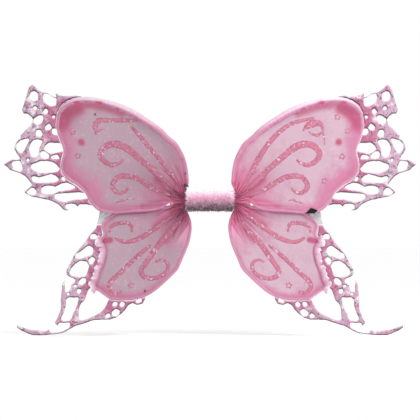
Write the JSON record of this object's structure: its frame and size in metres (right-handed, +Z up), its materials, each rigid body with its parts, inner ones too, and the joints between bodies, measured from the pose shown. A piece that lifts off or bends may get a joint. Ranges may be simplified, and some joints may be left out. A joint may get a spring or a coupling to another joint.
{
  "type": "costume fairy wings",
  "caption": "Worn costume wings: curved fabric lobes on bendable wire loops with padded rims, open lace edging, glitter scrolls, a furry centre sleeve and elastic shoulder loops.",
  "frame": {"origin": "centre of the flat face of the back pad that lies against the wearer's back", "axes": "+Z up, +X to the right for someone facing the decorated side, +Y out of the pad's flat face towards the wearer"},
  "size_m": [0.824, 0.2458, 0.501],
  "materials": {
    "pad": "matt pink felt",
    "fur": "short white faux fur shaded pink and mauve underneath",
    "foam": "soft closed-cell foam",
    "steel": "annealed bendable wire",
    "elastic": "ribbed pink elastic webbing",
    "tape": "deep pink woven tape",
    "satin": "padded satin binding, pale on its crest and deep pink below",
    "nylon": "thin pleated nylon, pale grey pink in the middle and deep pink at the edges and root",
    "lace": "stiff open lace, white to pink and lilac with dark specks",
    "organza": "pale grey sheer organza",
    "glitter": "dusty rose glitter film with lilac sparks"
  },
  "bodies": {
    "centre": {"back_pad": "pad", "foam_core": "foam", "fur_sleeve": "fur", "shoulder_strap_left": "elastic", "shoulder_strap_right": "elastic", "spine_wire_lower": "steel", "spine_wire_upper": "steel"},
    "right_wing": {"right_root_tab": "tape", "right_upper_frame": "steel", "right_upper_hem": "satin", "right_upper_hook": "glitter", "right_upper_lace": "lace", "right_upper_panel": "nylon", "right_upper_scroll_long": "glitter", "right_upper_scroll_middle": "glitter", "right_upper_scroll_short": "glitter"},
    "left_wing": {"left_root_tab": "tape", "left_upper_frame": "steel", "left_upper_hem": "satin", "left_upper_hook": "glitter", "left_upper_lace": "lace", "left_upper_panel": "nylon", "left_upper_scroll_long": "glitter", "left_upper_scroll_middle": "glitter", "left_upper_scroll_short": "glitter"},
    "right_lower_lobe": {"right_lower_branch": "glitter", "right_lower_crescent": "glitter", "right_lower_frame": "steel", "right_lower_gusset": "organza", "right_lower_hem": "satin", "right_lower_lace": "lace", "right_lower_panel": "nylon", "right_lower_scroll_long": "glitter", "right_lower_scroll_middle": "glitter"},
    "left_lower_lobe": {"left_lower_branch": "glitter", "left_lower_crescent": "glitter", "left_lower_frame": "steel", "left_lower_gusset": "organza", "left_lower_hem": "satin", "left_lower_lace": "lace", "left_lower_panel": "nylon", "left_lower_scroll_long": "glitter", "left_lower_scroll_middle": "glitter"}
  },
  "joints": [
    {"name": "right_wing_swing", "type": "hinge", "parent": "centre", "child": "right_wing", "pos_m": [0.049, -0.0245, 0], "axis": [0, 0, 1], "range_deg": [-80, 20]},
    {"name": "left_wing_swing", "type": "hinge", "parent": "centre", "child": "left_wing", "pos_m": [-0.049, -0.0245, 0], "axis": [0, 0, -1], "range_deg": [-80, 20]},
    {"name": "right_lower_fold", "type": "hinge", "parent": "right_wing", "child": "right_lower_lobe", "pos_m": [0.052, -0.01923, -0.013], "axis": [0, -1, 0], "range_deg": [-10, 80]},
    {"name": "left_lower_fold", "type": "hinge", "parent": "left_wing", "child": "left_lower_lobe", "pos_m": [-0.052, -0.01923, -0.013], "axis": [0, 1, 0], "range_deg": [-10, 80]}
  ]
}
